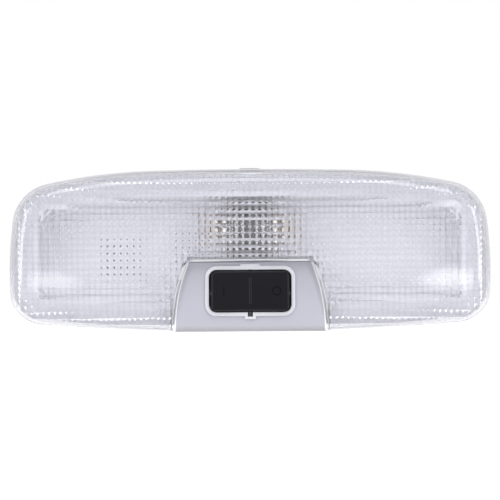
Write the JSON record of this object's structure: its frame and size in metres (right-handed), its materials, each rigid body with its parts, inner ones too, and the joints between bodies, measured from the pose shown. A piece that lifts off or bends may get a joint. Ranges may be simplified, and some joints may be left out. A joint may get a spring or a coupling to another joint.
{
  "type": "car dome light",
  "caption": "Long oval car interior lamp with a clear prismatic push-fit lens, a festoon bulb before a bright shield, and a black rocker switch in a frosted panel.",
  "frame": {"origin": "on the headlining plane (the flange's rear face), at the middle of the lamp's length and height", "axes": "+X along the lamp, to the right as seen from the cabin; +Z across it, away from the switch; +Y into the roof, out of the flange's rear face"},
  "size_m": [0.2, 0.044, 0.068],
  "materials": {
    "clear_plastic": "glossy clear polycarbonate with prisms on its inner face",
    "frosted_plastic": "frosted translucent plastic",
    "black_plastic": "fine-grained black plastic",
    "white_plastic": "satin white moulded plastic",
    "bronze": "stamped spring bronze",
    "brass": "stamped brass strip",
    "bright_steel": "bright-plated sheet",
    "bulb_glass": "thin clear glass",
    "nickel": "drawn brass cap",
    "tungsten": "drawn wire",
    "spring_steel": "zinc-plated spring steel"
  },
  "bodies": {
    "lamp": {"lens": "clear_plastic", "switch_panel": "frosted_plastic", "housing": "white_plastic", "detent_leaf": "bronze", "feed_strip": "brass", "return_strip": "brass", "door_strip": "brass", "ground_strip": "brass", "heat_shield": "bright_steel", "bulb_glass": "bulb_glass", "bulb_cap_left": "nickel", "bulb_cap_right": "nickel", "bulb_filament": "tungsten", "roof_clip": "spring_steel"},
    "rocker": {"rocker_key": "black_plastic", "wiper": "bronze"}
  },
  "joints": [
    {"name": "rocker_tilt", "type": "hinge", "parent": "lamp", "child": "rocker", "pos_m": [0, -0.0082, -0.0168], "axis": [0, 0, 1], "range_deg": [-8, 8]}
  ]
}
